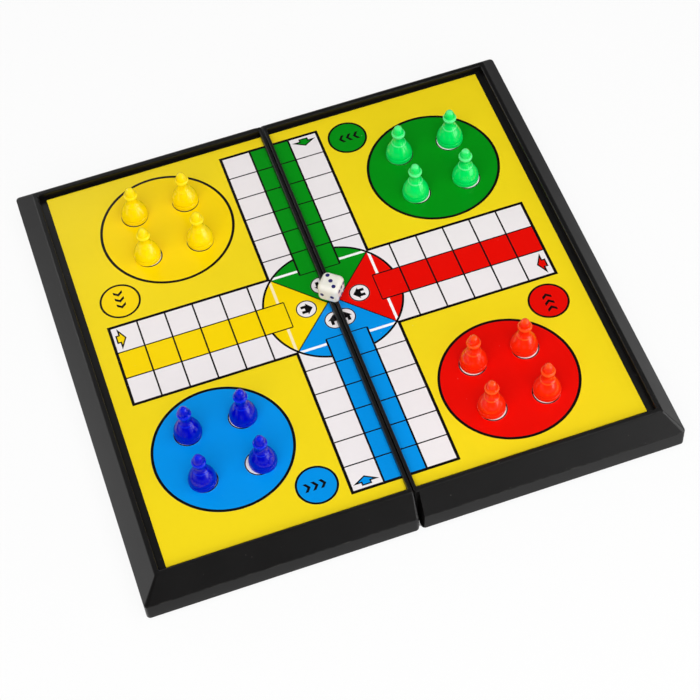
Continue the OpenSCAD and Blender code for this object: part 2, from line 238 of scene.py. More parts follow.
class StudioSettings(bpy.types.PropertyGroup):
    """Camera and light."""

    azimuth: angle("Azimuth", "Camera direction round the board", -14.644)
    elevation: angle("Elevation", "Camera height above the horizon", 56.18)
    roll: angle("Roll", "Turn of the camera about its own axis", -5.133)
    distance: length("Distance", "Camera from its target", 908.68)
    target_x: length("Target, across", "Point that the camera looks at", 1.39)
    target_y: length("Target, along", "Point that the camera looks at", -17.65)
    focal: FloatProperty(
        name="Focal length", description="Lens for a sensor 36 mm wide", default=100.24,
        subtype="DISTANCE_CAMERA",
    )
    left_lamp: share("Left lamp", "Power of the left soft box in watts", 0.85)
    right_lamp: share("Right lamp", "Power of the right soft box in watts", 2.6)
    overhead_lamp: share("Overhead lamp", "Power of the overhead soft box in watts", 1.2)
    back_lamp: share("Back lamp", "Power of the pale panel behind the board in watts", 1.2)
    front_lamp: share("Front lamp", "Power of the wide diffuser in front in watts", 24)
    floor_veil: share("Floor veil", "How much of the floor the camera sees", 0.11)


# Nodes


class Bench:
    """Lays out the nodes of one tree and joins their sockets."""

    SPACING = 190

    def __init__(self, tree):
        self.tree = tree

    def add(self, kind, inputs=None, **settings):
        """Places a node, sets it up and feeds its inputs, which are named or numbered."""
        node = self.tree.nodes.new(kind)
        node.location = (self.SPACING * len(self.tree.nodes), 0)
        for name, value in settings.items():
            setattr(node, name, value)
        for key, value in (inputs or {}).items():
            self.feed(node.inputs[key], value)
        return node

    def feed(self, socket, value):
        """Links a socket to the value, or sets it."""
        if isinstance(value, bpy.types.NodeSocket):
            self.tree.links.new(value, socket)
        else:
            socket.default_value = value

    def math(self, operation, *values, clamp=False):
        """One number worked out from up to three others."""
        inputs = dict(enumerate(values))
        return self.add("ShaderNodeMath", inputs, operation=operation, use_clamp=clamp).outputs[0]

    def plus(self, a, b):
        return self.math("ADD", a, b)

    def minus(self, a, b):
        return self.math("SUBTRACT", a, b)

    def times(self, a, b):
        return self.math("MULTIPLY", a, b)

    def over(self, a, b):
        return self.math("DIVIDE", a, b)

    def size(self, a):
        return self.math("ABSOLUTE", a)

    def sign(self, a):
        return self.math("SIGN", a)

    def above(self, a, b):
        """1 where a is larger than b."""
        return self.math("GREATER_THAN", a, b)

    def least(self, a, b):
        return self.math("MINIMUM", a, b)

    def most(self, first, *others):
        """The largest of several numbers."""
        for other in others:
            first = self.math("MAXIMUM", first, other)
        return first

    def vector(self, operation, *values):
        """One vector worked out from others."""
        return self.add("ShaderNodeVectorMath", dict(enumerate(values)), operation=operation).outputs[0]

    def parts(self, vector):
        """The x, y and z of a vector."""
        return self.add("ShaderNodeSeparateXYZ", {0: vector}).outputs

    def join(self, x, y, z):
        """A vector from its x, y and z."""
        return self.add("ShaderNodeCombineXYZ", {0: x, 1: y, 2: z}).outputs[0]

    def choose(self, switch, off, on):
        """off where switch is 0, on where it is 1."""
        return self.math("MULTIPLY_ADD", switch, self.minus(on, off), off)

    def reach(self, x, y):
        """Length of a flat vector."""
        return self.math("SQRT", self.plus(self.times(x, x), self.times(y, y)))

    def mix(self, factor, a, b, blend="MIX"):
        """A colour between a and b."""
        node = self.add("ShaderNodeMix", data_type="RGBA", blend_type=blend)
        for socket, value in zip((node.inputs[0], node.inputs[6], node.inputs[7]), (factor, a, b)):
            self.feed(socket, value)
        return node.outputs[2]

    def span(self, value, low, high, out_low=0.0, out_high=1.0):
        """Carries a value from one span to another, within its ends."""
        inputs = {0: value, 1: low, 2: high, 3: out_low, 4: out_high}
        return self.add("ShaderNodeMapRange", inputs).outputs[0]

    def noise(self, position, scale, detail=2.0):
        inputs = {"Vector": position, "Scale": scale, "Detail": detail}
        return self.add("ShaderNodeTexNoise", inputs).outputs[0]

    def place(self):
        """Position on the piece, in metres of the shared frame."""
        return self.add("ShaderNodeTexCoord").outputs["Object"]

    def points(self):
        """Positions of a shape's points."""
        return self.add("GeometryNodeInputPosition").outputs[0]

    def grid(self, size, columns, rows):
        """A flat square shape of columns and rows of points."""
        inputs = {"Size X": size, "Size Y": size, "Vertices X": columns, "Vertices Y": rows}
        return self.add("GeometryNodeMeshGrid", inputs).outputs[0]

    def shape(self, kind, geometry, **inputs):
        """A geometry node that works on one shape."""
        return self.add(f"GeometryNode{kind}", {"Geometry": geometry, **inputs}).outputs[0]


def bare_bench(owner):
    """The bench of a world or a material, emptied."""
    owner.use_nodes = True
    owner.node_tree.nodes.clear()
    return Bench(owner.node_tree)


def rgba(tint):
    return (*tint, 1.0)


def new_group(name, kind, inputs, outputs):
    """An empty node group with its sockets; returns its bench and its input and output nodes."""
    tree = bpy.data.node_groups.new(name, kind)
    for in_out, sockets in (("INPUT", inputs), ("OUTPUT", outputs)):
        for label, socket_type, *default in sockets:
            socket = tree.interface.new_socket(label, in_out=in_out, socket_type=socket_type)
            for value in default:
                socket.default_value = value
    bench = Bench(tree)
    return bench, bench.add("NodeGroupInput").outputs, bench.add("NodeGroupOutput").inputs


FLOAT, VECTOR, COLOUR = "NodeSocketFloat", "NodeSocketVector", "NodeSocketColor"
WHOLE, GEOMETRY, MATERIAL = "NodeSocketInt", "NodeSocketGeometry", "NodeSocketMaterial"


def moulded_grain():
    """Fine grain and slow waviness of a moulded surface: a height, and a mask for gloss."""
    bench, source, result = new_group(
        "Moulded grain", "ShaderNodeTree",
        [("Position", VECTOR), ("Grain size", FLOAT, 0.3 * MM), ("Wave size", FLOAT, 20 * MM)],
        [("Height", FLOAT), ("Gloss", FLOAT)],
    )
    fine = bench.noise(source["Position"], bench.over(1.0, source["Grain size"]), 3.0)
    slow = bench.noise(source["Position"], bench.over(1.0, source["Wave size"]), 2.0)
    wave_height, grain_gloss = 0.5, 0.35
    wave_gloss = 1.0 - grain_gloss
    bench.feed(result["Height"], bench.plus(fine, bench.times(slow, wave_height)))
    bench.feed(result["Gloss"], bench.plus(bench.times(fine, grain_gloss), bench.times(slow, wave_gloss)))
    return bench.tree


def settled_dust():
    """Small specks that lie on a surface in patches, as a mask."""
    bench, source, result = new_group(
        "Settled dust", "ShaderNodeTree",
        [("Position", VECTOR), ("Speck size", FLOAT, 1.6 * MM), ("Amount", FLOAT, 0.5)],
        [("Mask", FLOAT)],
    )
    speck_edge, most_kept = (0.05, 0.11), 0.3
    patch_scale, patch_edge = 26.0, (0.42, 0.62)
    pitch = bench.over(1.0, source["Speck size"])
    cells = bench.add(
        "ShaderNodeTexVoronoi", {"Vector": source["Position"], "Scale": pitch, "Randomness": 1.0},
    )
    speck = bench.span(cells.outputs["Distance"], *speck_edge, 1.0, 0.0)
    chance = bench.add("ShaderNodeSeparateColor", {0: cells.outputs["Color"]}).outputs[0]
    kept = bench.above(chance, bench.minus(1.0, bench.times(source["Amount"], most_kept)))
    patches = bench.span(bench.noise(source["Position"], patch_scale), *patch_edge)
    bench.feed(result["Mask"], bench.times(bench.times(speck, kept), patches))
    return bench.tree


def uneven_tint():
    """Slow and fine changes of a colour, as ink and dyed plastic show them."""
    bench, source, result = new_group(
        "Uneven tint", "ShaderNodeTree",
        [("Color", COLOUR), ("Position", VECTOR), ("Size", FLOAT, 20 * MM), ("Strength", FLOAT, 0.05)],
        [("Color", COLOUR)],
    )
    fineness, slow_share = 14.0, 0.7
    slow = bench.noise(source["Position"], bench.over(1.0, source["Size"]), 3.0)
    fine = bench.noise(source["Position"], bench.over(fineness, source["Size"]), 2.0)
    both = bench.plus(bench.times(slow, slow_share), bench.times(fine, 1.0 - slow_share))
    shift = bench.times(bench.minus(both, 0.5), source["Strength"])
    level = bench.plus(bench.times(shift, 2.0), 1.0)
    grey = bench.add("ShaderNodeCombineColor", {0: level, 1: level, 2: level}).outputs[0]
    bench.feed(result["Color"], bench.mix(1.0, source["Color"], grey, "MULTIPLY"))
    return bench.tree


def print_plan(sizes):
    """The printed plan: ground, arms, centre, bases and start circles, folded by quarter turns."""
    bench, source, result = new_group(
        "Ludo print plan", "ShaderNodeTree",
        [("Position", VECTOR)] + [(ink, COLOUR) for ink in INKS],
        [("Color", COLOUR), ("Line", FLOAT)],
    )
    edge = -1.0 / sizes.ink_edge
    line_masks = []

    def inside(distance):
        """Mask of where a distance to an edge is negative."""
        return bench.math("MULTIPLY_ADD", distance, edge, 0.5, clamp=True)

    def band(distance, thickness):
        """Mask of a line that lies on an edge, half on each side."""
        return inside(bench.minus(bench.size(distance), thickness / 2))

    def rim_line(distance, thickness):
        """Mask of a line that lies within an edge."""
        return band(bench.plus(distance, thickness / 2), thickness)

    def both(*masks):
        first = masks[0]
        for other in masks[1:]:
            first = bench.times(first, other)
        return first

    def without(mask):
        return bench.minus(1.0, mask)

    def circle(from_x, from_y, radius):
        """Distance to a circle."""
        return bench.minus(bench.reach(from_x, from_y), radius)

    def paint(below, ink, mask):
        return bench.mix(mask, below, ink)

    def draw(below, mask):
        """Paints a line over what lies below it."""
        line_masks.append(mask)
        return paint(below, source["Line"], mask)

    def outlined(below, ink, distance, thickness):
        """Fills a form with ink and draws a line within its edge."""
        return draw(paint(below, ink, inside(distance)), rim_line(distance, thickness))

    place = bench.parts(source["Position"])
    fold = SHEET_LOW.x + sizes.bleed
    x_size = bench.most(bench.minus(bench.size(place[0]), fold), 0.0)
    x, y = bench.times(x_size, bench.sign(place[0])), place[1]
    y_size = bench.size(y)
    right, back = bench.above(place[0], 0.0), bench.above(y, 0.0)
    upright = bench.above(y_size, x_size)

    # The arm that a point lies on: distance from the centre, and place across the arm
    along = bench.most(x_size, y_size)
    side = bench.least(x_size, y_size)
    level_across = bench.times(bench.times(y, -1.0), bench.sign(x))
    upright_across = bench.times(x, bench.sign(y))
    across = bench.choose(upright, level_across, upright_across)
    on_upright = bench.mix(back, source["Blue"], source["Green"])
    on_level = bench.mix(right, source["Yellow"], source["Red"])
    arm_ink = bench.mix(upright, on_level, on_upright)

    # The corner that a point lies in, turned to the yellow one
    turned = bench.above(bench.times(x, y), 0.0)
    near = bench.choose(turned, x_size, y_size)
    far = bench.choose(turned, y_size, x_size)
    at_back = bench.mix(right, source["Yellow"], source["Green"])
    at_front = bench.mix(right, source["Blue"], source["Red"])
    base_ink = bench.mix(back, at_front, at_back)

    # Arms with their cells and coloured lanes
    arm = bench.most(bench.minus(side, sizes.arm_half), bench.minus(along, sizes.arm_end))
    in_arm = inside(arm)
    lane = bench.minus(side, sizes.lane_half)
    inked = paint(source["Ground"], source["Cells"], in_arm)
    inked = paint(inked, arm_ink, both(in_arm, inside(lane)))
    centre = circle(x, y, sizes.centre_radius)
    in_centre = inside(centre)
    inked = paint(inked, arm_ink, in_centre)
    outside, off_lane = without(in_centre), without(inside(lane))
    steps = bench.math("PINGPONG", bench.minus(sizes.arm_end, along), sizes.cell_step / 2)
    row_half = bench.choose(upright, sizes.side_line / 2, sizes.cell_line / 2)
    rows = both(inside(bench.minus(steps, row_half)), in_arm, outside)
    lane_reach = inside(bench.minus(sizes.lane_end, along))
    lane_half = bench.choose(upright, sizes.cell_line / 2, sizes.lane_line / 2)
    lanes = both(inside(bench.minus(bench.size(lane), lane_half)), in_arm, lane_reach)
    lane_stop = both(band(bench.minus(along, sizes.lane_end), sizes.thin_line), inside(lane))

    # White lines of the centre square, which keep a little of a yellow ground
    square = both(band(bench.minus(along, sizes.square_half), sizes.square_line), in_centre, off_lane)
    on_yellow = without(bench.most(upright, right))
    full_cover, yellow_cover = 0.96, 0.5
    white = bench.mix(bench.choose(on_yellow, full_cover, yellow_cover), arm_ink, WHITE)
    inked = paint(inked, white, square)
    diagonal = bench.times(bench.minus(along, side), sqrt(0.5))
    corner_lines = both(band(diagonal, sizes.thin_line), in_centre)
    for mask in (corner_lines, rows, lanes, lane_stop):
        inked = draw(inked, mask)
    inked = draw(inked, both(band(centre, sizes.centre_line), off_lane))
    inked = draw(inked, band(arm, sizes.arm_line))

    # Home discs, each with a small house that is drawn in shares of the disc's radius
    home = bench.minus(sizes.home_place, along)
    disc = circle(side, home, sizes.home_radius)
    inked = outlined(inked, source["Cells"], disc, sizes.thin_line)
    unit = sizes.home_radius

    def block(half, low, high):
        """Distance to a block about the disc's upright line."""
        middle, reach = (low + high) / 2 * unit, (high - low) / 2 * unit
        rise = bench.size(bench.minus(home, middle))
        return bench.most(bench.minus(side, half * unit), bench.minus(rise, reach))

    eaves_height, roof_reach, roof_side, roof_up = 0.04, 0.44, 0.66, 0.75
    eaves = bench.minus(home, eaves_height * unit)
    slope = bench.plus(bench.times(side, roof_side), bench.times(eaves, roof_up))
    roof = bench.most(bench.minus(slope, roof_reach * unit), bench.times(eaves, -1.0))
    house = bench.least(block(half=0.44, low=-0.5, high=0.1), roof)
    door = bench.times(block(half=0.13, low=-0.6, high=-0.14), -1.0)
    inked = draw(inked, inside(bench.most(house, door)))

    # Arrows on the first cells, which point to the centre
    off = bench.size(bench.minus(across, sizes.arrow_across))
    tip = bench.minus(sizes.arrow_along, along)
    head_length, tail_length = 1.9 * MM, 1.5 * MM
    head_half, tail_half = 3.4 * MM, 1.6 * MM
    slope, slant = head_length / head_half, 0.9
    head_side = bench.minus(bench.plus(tip, bench.times(off, slope)), head_length)
    head = bench.most(bench.times(head_side, slant), bench.times(tip, -1.0))
    tail_side = bench.size(bench.plus(tip, tail_length / 2))
    tail = bench.most(bench.minus(off, tail_half), bench.minus(tail_side, tail_length / 2))
    arrow = bench.least(head, tail)
    inked = draw(inked, inside(bench.minus(arrow, sizes.arrow_line)))
    inked = paint(inked, arm_ink, inside(arrow))

    # Bases with their four spots
    base_x, base_y = bench.minus(near, sizes.base_near), bench.minus(far, sizes.base_far)
    base = circle(base_x, base_y, sizes.base_radius)
    inked = outlined(inked, base_ink, base, sizes.base_line)
    spot_x, spot_y = (bench.minus(bench.size(part), sizes.spot_step) for part in (base_x, base_y))
    spot = circle(spot_x, spot_y, sizes.spot_radius)
    inked = outlined(inked, source["Cells"], spot, sizes.thin_line)

    # Start circles, each with a row of chevrons towards the first cell
    start_x, start_y = bench.minus(near, sizes.start_far), bench.minus(far, sizes.start_near)
    start = circle(start_x, start_y, sizes.start_radius)
    inked = outlined(inked, base_ink, start, sizes.start_line)
    chevron_step, chevron_half, chevron_line = 3.6 * MM, 2.2 * MM, 1.5 * MM
    chevron_slope, row_reach, whole_steps = 0.75, 1.5, 5
    lean = bench.minus(bench.times(bench.size(start_x), chevron_slope), start_y)
    wave = bench.math("PINGPONG", bench.plus(lean, whole_steps * chevron_step), chevron_step / 2)
    row = both(
        band(wave, chevron_line),
        inside(bench.minus(bench.size(start_x), chevron_half)),
        inside(bench.minus(bench.size(lean), row_reach * chevron_step)),
    )
    inked = draw(inked, row)
    bench.feed(result["Color"], inked)
    bench.feed(result["Line"], bench.most(*line_masks))
    return bench.tree


# Materials


class Finish:
    """One material: a Principled shader and the bench that its pattern is laid out on."""

    GLOSS_SPAN = (0.3, 0.7)

    def __init__(self, name, **sockets):
        self.material = bpy.data.materials.new(name)
        self.material.use_nodes = True
        self.bench = Bench(self.material.node_tree)
        self.place = self.bench.place()
        self.shader = self.material.node_tree.nodes["Principled BSDF"]
        for label, value in sockets.items():
            self.set(label.replace("_", " "), value)

    def set(self, label, value):
        self.bench.feed(self.shader.inputs[label], value)

    def group(self, tree, **inputs):
        """Places a shared effect on the piece."""
        named = {label.replace("_", " "): value for label, value in inputs.items()}
        named["Position"] = self.place
        return self.bench.add("ShaderNodeGroup", named, node_tree=tree).outputs

    def grain(self, size, wave):
        """Moulded grain, with the size of its grain and of its waves in millimetres."""
        return self.group(shared(moulded_grain), Grain_size=size * MM, Wave_size=wave * MM)

    def dust(self, speck, amount):
        """Mask of settled dust, with the size of its specks in millimetres."""
        return self.group(shared(settled_dust), Speck_size=speck * MM, Amount=amount)["Mask"]

    def uneven(self, tint, size, strength):
        """A colour that changes over patches of a size in millimetres."""
        return self.group(shared(uneven_tint), Color=tint, Size=size * MM, Strength=strength)["Color"]

    def gloss(self, grain, low, high):
        """Roughness from low to high, as the grain has it."""
        return self.bench.span(grain["Gloss"], *self.GLOSS_SPAN, low, high)

    def bump(self, height, strength, depth):
        """Lifts the surface by a height, over a depth in millimetres."""
        inputs = {"Height": height, "Strength": strength, "Distance": depth * MM}
        self.set("Normal", self.bench.add("ShaderNodeBump", inputs).outputs[0])

    def mould(self, tint, patches, grain, rough, relief):
        """A moulded surface: two numbers each for the patches, the grain, the gloss and the bump."""
        surface = self.grain(*grain)
        self.set("Base Color", self.uneven(tint, *patches))
        self.set("Roughness", self.gloss(surface, *rough))
        self.bump(surface["Height"], *relief)
        return self.material


def shared(maker, *inputs):
    """A node group that is built once and placed again."""
    known = bpy.data.node_groups.get(maker.__name__)
    if known is None:
        known = maker(*inputs)
        known.name = maker.__name__
    return known


def black_plastic(sizes):
    """Satin black moulding with a fine grain, a painted highlight along the edge between skirt and bevel,
    and a little dust.
    """
    finish = Finish("Black moulded plastic", IOR=1.5, Specular_IOR_Level=0.5)
    bench, dust_tint = finish.bench, rgba(sizes.dust)
    grain, dust = finish.grain(0.35, 18), finish.dust(2.2, 0.45)
    tint = finish.uneven(rgba(sizes.black), 30, 0.16)
    height = bench.parts(finish.place)[2]
    edge = sizes.closing_height + sizes.skirt_height
    # Painted highlight: a lighter band in patches along the edge between skirt and bevel, tinted like the
    # dust
    edge_highlight_reach, patch_scale, patch_edge = (0.1 * MM, 0.5 * MM), 160.0, (0.45, 0.75)
    edge_highlight_strength, dust_cover, dust_rough = 0.1, 0.5, 0.8
    painted_edge_highlight = bench.span(bench.size(bench.minus(height, edge)), *edge_highlight_reach, 1.0, 0.0)
    patchy = bench.span(bench.noise(finish.place, patch_scale, 3.0), *patch_edge)
    highlit_tint = bench.mix(bench.times(bench.times(painted_edge_highlight, patchy), edge_highlight_strength), tint, dust_tint)
    finish.set("Base Color", bench.mix(bench.times(dust, dust_cover), highlit_tint, dust_tint))
    finish.set("Roughness", bench.choose(dust, finish.gloss(grain, 0.33, 0.43), dust_rough))
    finish.bump(grain["Height"], 0.05, 0.2)
    return finish.material


def printed_sheet(sizes):
    """Glossy printed sheet: the plan in its inks, with slight unevenness and a soft lacquer."""
    finish = Finish("Printed ludo plan", IOR=1.46, Specular_IOR_Level=0.36)
    bench = finish.bench
    inks = {ink: rgba(getattr(sizes, ink.lower())) for ink in INKS}
    plan = finish.group(shared(print_plan, sizes), **inks)
    tint = finish.uneven(plan["Color"], 50, 0.035)
    dust_tint, dust_cover, line_polish = (0.8, 0.79, 0.77, 1.0), 0.12, 0.04
    speck = bench.times(finish.dust(3, 0.25), dust_cover)
    finish.set("Base Color", bench.mix(speck, tint, dust_tint))
    grain = finish.grain(0.6, 30)
    polish = bench.times(plan["Line"], line_polish)
    finish.set("Roughness", bench.minus(finish.gloss(grain, 0.2, 0.27), polish))
    finish.bump(grain["Height"], 0.03, 0.2)
    return finish.material


def pawn_plastic(team, sizes, foot):
    """Glossy dyed plastic with painted light: a paler tint painted by height at the brim, collar and
    foot, as painted glow where light would shine through, and at the dome's top as a painted highlight.
    """
    finish = Finish(
        f"{team.capitalize()} pawn plastic", IOR=1.5, Specular_IOR_Level=0.42, Subsurface_Weight=0.3,
        Subsurface_Radius=(0.9, 0.9, 0.9), Subsurface_Scale=2 * MM,
    )
    bench = finish.bench
    height = bench.minus(bench.parts(finish.place)[2], foot)
    collar = sizes.shoulder + sizes.collar_height / 2
    # Painted light by height: a paler tint near the brim, collar and foot stands in for glow shining
    # through, and near the top for a highlight
    painted_light_bands = [
        bench.span(bench.size(bench.minus(height, middle)), reach * 0.3 * MM, reach * MM, strength, 0.0)
        for middle, reach, strength in (
            (sizes.head_wide, 1.4, 0.5), (collar, 0.6, 0.45), (0.0, 0.8, 0.4), (sizes.height, 1.6, 0.4),
        )
    ]
    tint, painted_light = rgba(getattr(sizes, team)), rgba(getattr(sizes, f"{team}_thin"))
    lit = bench.mix(bench.most(*painted_light_bands), tint, painted_light)
    return finish.mould(lit, patches=(8, 0.04), grain=(0.5, 6), rough=(0.1, 0.16), relief=(0.03, 0.2))


def die_plastic(sizes):
    """Ivory white moulding, polished by tumbling."""
    finish = Finish(
        "Ivory die plastic", IOR=1.5, Subsurface_Weight=0.2, Subsurface_Radius=(1.0, 0.9, 0.75),
        Subsurface_Scale=1.5 * MM, Coat_Weight=0.3, Coat_Roughness=0.1,
    )
    return finish.mould(
        rgba(sizes.body), patches=(6, 0.05), grain=(0.4, 5), rough=(0.24, 0.36), relief=(0.05, 0.2),
    )


def pip_paint(sizes):
    """Navy enamel in the pips."""
    finish = Finish("Navy pip enamel", IOR=1.5)
    return finish.mould(
        rgba(sizes.pips), patches=(2, 0.2), grain=(0.3, 2), rough=(0.25, 0.4), relief=(0.05, 0.1),
    )


def worked_metal(name, tint, rough, metallic, stretch):
    """Rolled or drawn metal, or pressed ferrite: long or round marks and a matching gloss."""
    finish = Finish(name, Metallic=metallic)
    bench = finish.bench
    drawn = bench.add("ShaderNodeMapping", {"Vector": finish.place, "Scale": stretch}).outputs[0]
    mark_scale, mark_rough, grain_share = 2600.0, 0.18, 0.3
    marks = bench.noise(drawn, mark_scale, 3.0)
    finish.set("Base Color", finish.uneven(rgba(tint), 10, 0.12))
    finish.set("Roughness", bench.plus(bench.times(marks, mark_rough), rough))
    grain = finish.grain(0.6, 10)
    finish.bump(bench.plus(marks, bench.times(grain["Height"], grain_share)), 0.08, 0.05)
    return finish.material


# Meshes


def new_object(name, data):
    """An object at the origin; a piece has its place in its mesh."""
    made = bpy.data.objects.new(name, data)
    bpy.context.scene.collection.objects.link(made)
    return made


def dress(piece, material):
    """Gives a piece its one material."""
    piece.data.materials.clear()
    piece.data.materials.append(material)


def mesh_of(name, bm):
    """A mesh from a finished bmesh, with its faces turned outwards."""
    bmesh.ops.recalc_face_normals(bm, faces=bm.faces)
    mesh = bpy.data.meshes.new(name)
    bm.to_mesh(mesh)
    bm.free()
    return mesh


def settle(piece):
    """Makes a piece and its modifiers one plain mesh."""
    graph = bpy.context.evaluated_depsgraph_get()
    mesh = bpy.data.meshes.new_from_object(piece.evaluated_get(graph), depsgraph=graph)
    mesh.name = piece.name
    piece.modifiers.clear()
    piece.data = mesh
    return piece


def soften(mesh, degrees):
    """Shades a mesh smooth, apart from edges that turn by more than some degrees."""
    bm = bmesh.new()
    bm.from_mesh(mesh)
    for face in bm.faces:
        face.smooth = True
    for edge in bm.edges:
        edge.smooth = edge.calc_face_angle(pi) < radians(degrees)
    bm.to_mesh(mesh)
    bm.free()


def arc(steps, start, stop):
    """Angles along an arc, both ends included."""
    return [start + (stop - start) * i / steps for i in range(steps + 1)]


def close_loops(bm, loops):
    """Joins loops of points with faces and closes both ends."""
    loops = [[bm.verts.new(point) for point in loop] for loop in loops]
    for low, high in zip(loops, loops[1:]):
        for i in range(len(low)):
            bm.faces.new((low[i - 1], low[i], high[i], high[i - 1]))
    bm.faces.new(loops[0])
    bm.faces.new(loops[-1])


class Tray:
    """Works out the right half tray as stacked rings, and its hinge and tab solids."""

    # Faces along a corner and an edge, and round a knuckle, a bore and a bay
    CORNER_STEPS, EDGE_STEPS = 8, 5
    KNUCKLE_STEPS, BORE_STEPS, BAY_STEPS = 40, 32, 28
    # Room at the closing plane, the tray's inner lower edge, and how far a cutter stands out
    PARTING, CHAMFER, OVERCUT = 0.05 * MM, 0.2 * MM, 1 * MM
    # The relief: share of its width at its foot, what it leaves below and above, how far past the bevel
    RELIEF_FOOT_SHARE = 0.6
    RELIEF_SILL, RELIEF_CAP, RELIEF_BACK = 1 * MM, 0.4 * MM, 0.2 * MM

    def __init__(self, sizes, relieved, own, other, bore, tab_side, tab_end):
        self.s, self.relieved = sizes, relieved
        self.own, self.other, self.bore = own, other, bore
        self.tab_side, self.tab_end = tab_side, tab_end
        self.seam, self.half_w, self.half_d = sizes.seam_gap / 2, SHELL_HIGH.x, SHELL_HIGH.y
        self.rim = SHELL_HIGH.z
        self.skirt = sizes.closing_height + sizes.skirt_height
        self.recess = self.rim - sizes.floor_height
        self.ceiling = self.recess - sizes.floor_thickness
        self.bottom = sizes.closing_height + self.PARTING
        self.hinge = PIN_LOW.y + (PIN_HIGH.y - PIN_LOW.y) / 2
        self.hinges = (-self.hinge, self.hinge)
        self.hinge_length = 3 * sizes.knuckle_length + 2 * sizes.hinge_clearance

    def outer(self, shift, inset, z):
        """A ring of the outside."""
        s = self.s
        rise = max(0.0, z - self.skirt) / (self.rim - self.skirt)
        radius = s.corner_radius + (s.rim_corner_radius - s.corner_radius) * rise
        seam = self.seam + s.seam_draft * (1 - rise) + shift
        return seam, self.half_w - inset, self.half_d - inset, radius, z

    def hollow(self, inset, z, grow=0.0):
        """A ring of the tray under the floor."""
        s = self.s
        seam = self.seam + s.seam_draft + s.seam_wall - grow
        draw = s.wall + inset - grow
        return seam, self.half_w - draw, self.half_d - draw, s.tray_corner_radius, z

    def dish(self, grow, z):
        """A ring of the recess on the playing face."""
        s = self.s
        draw = s.bevel_run + s.rim_width - grow
        seam = self.seam + s.seam_rim - grow
        return seam, self.half_w - draw, self.half_d - draw, s.rim_corner_radius + grow, z

    def rings(self):
        """All rings, from the tray's ceiling round the outside to the recess floor."""
        s = self.s
        rise = self.rim - self.skirt
        slope = atan2(rise, s.bevel_run)
        ceiling_inset = s.bevel_run * (self.ceiling - self.skirt) / rise
        yield self.hollow(ceiling_inset, self.ceiling)
        yield self.hollow(0.0, self.skirt)
        yield self.hollow(0.0, self.bottom + self.CHAMFER)
        yield self.hollow(0.0, self.bottom, self.CHAMFER)
        for a in arc(self.EDGE_STEPS, 0.0, pi / 2):
            yield self.outer(0.0, s.lower_edge * (1 - sin(a)), self.bottom + s.lower_edge * (1 - cos(a)))
        turn = pi / 2 - slope
        low = self.skirt - s.bevel_edge * tan(turn / 2)
        for a in arc(self.EDGE_STEPS, 0.0, turn):
            yield self.outer(0.0, s.bevel_edge * (1 - cos(a)), low + s.bevel_edge * sin(a))
        reach = s.rim_edge * tan(slope / 2)
        drop = s.rim_edge * (1 - cos(slope))
        for a in arc(self.EDGE_STEPS, slope, 0.0):
            below = s.rim_edge * (1 - cos(a))
            lift = (drop - below) / drop
            shift = s.seam_round * (1 - sqrt(1 - lift * lift))
            yield self.outer(shift, s.bevel_run + reach - s.rim_edge * sin(a), self.rim - below)
        for a in arc(self.EDGE_STEPS, 0.0, pi / 2):
            yield self.dish(s.inner_edge * (1 - sin(a)), self.rim - s.inner_edge * (1 - cos(a)))
        yield self.dish(0.0, self.recess)

    def ring_points(self, seam, out, end, radius, z):
        """Points round one ring, with rounded corners."""
        corners = (
            (out - radius, radius - end, -pi / 2), (out - radius, end - radius, 0.0),
            (seam + radius, end - radius, pi / 2), (seam + radius, radius - end, pi),
        )
        return [
            (x + radius * cos(a), y + radius * sin(a), z)
            for x, y, start in corners
            for a in arc(self.CORNER_STEPS, start, start + pi / 2)
        ]

    def body(self):
        """The closed tray without its hinge."""
        bm = bmesh.new()
        close_loops(bm, [self.ring_points(*ring) for ring in self.rings()])
        return bm

    def rods(self, places, long, radius, steps):
        """Cylinders on the hinge axis, centred at the places along it."""
        bm = bmesh.new()
        for y in places:
            place = Matrix.Translation((0.0, y, self.s.closing_height)) @ Matrix.Rotation(pi / 2, 4, "X")
            bmesh.ops.create_cone(
                bm, cap_ends=True, segments=steps, radius1=radius, radius2=radius, depth=long,
                matrix=place,
            )
        return bm

    def relief(self):
        """A wedge that draws the fold side back under the rim, at the relieved end."""
        s, bm = self.s, bmesh.new()
        foot = (self.bottom + self.RELIEF_SILL, s.relief * self.RELIEF_FOOT_SHARE)
        top = (self.rim - self.RELIEF_CAP, s.relief)
        for z, width in (foot, top):
            for x in (-self.OVERCUT, self.seam + width):
                for y in (self.half_d - s.bevel_run - self.RELIEF_BACK, self.half_d + self.OVERCUT):
                    bm.verts.new((x, self.relieved * y, z))
        bmesh.ops.convex_hull(bm, input=bm.verts)
        return bm

    def notches(self):
        """Room for the other half's knuckles."""
        s = self.s
        places = [hinge + place for hinge in self.hinges for place in self.other]
        room = s.knuckle_length + 2 * s.hinge_clearance
        return self.rods(places, room, s.knuckle_radius + s.hinge_clearance, self.KNUCKLE_STEPS)

    def tab(self, bm, place):
        """A closing tab on the inside of a skirt: an upright plate on a root."""
        s = self.s
        inner = -s.tab_clearance - s.tab_thickness
        top = s.closing_height + s.tab_root
        outline = (
            (inner, 0.0), (-s.tab_clearance, 0.0), (-s.tab_clearance, self.bottom),
            (s.wall / 2, self.bottom), (s.wall / 2, top), (inner, top),
        )
        close_loops(bm, [
            [place @ Vector((x, y, z)) for x, z in outline] for y in (-s.tab_width / 2, s.tab_width / 2)
        ])

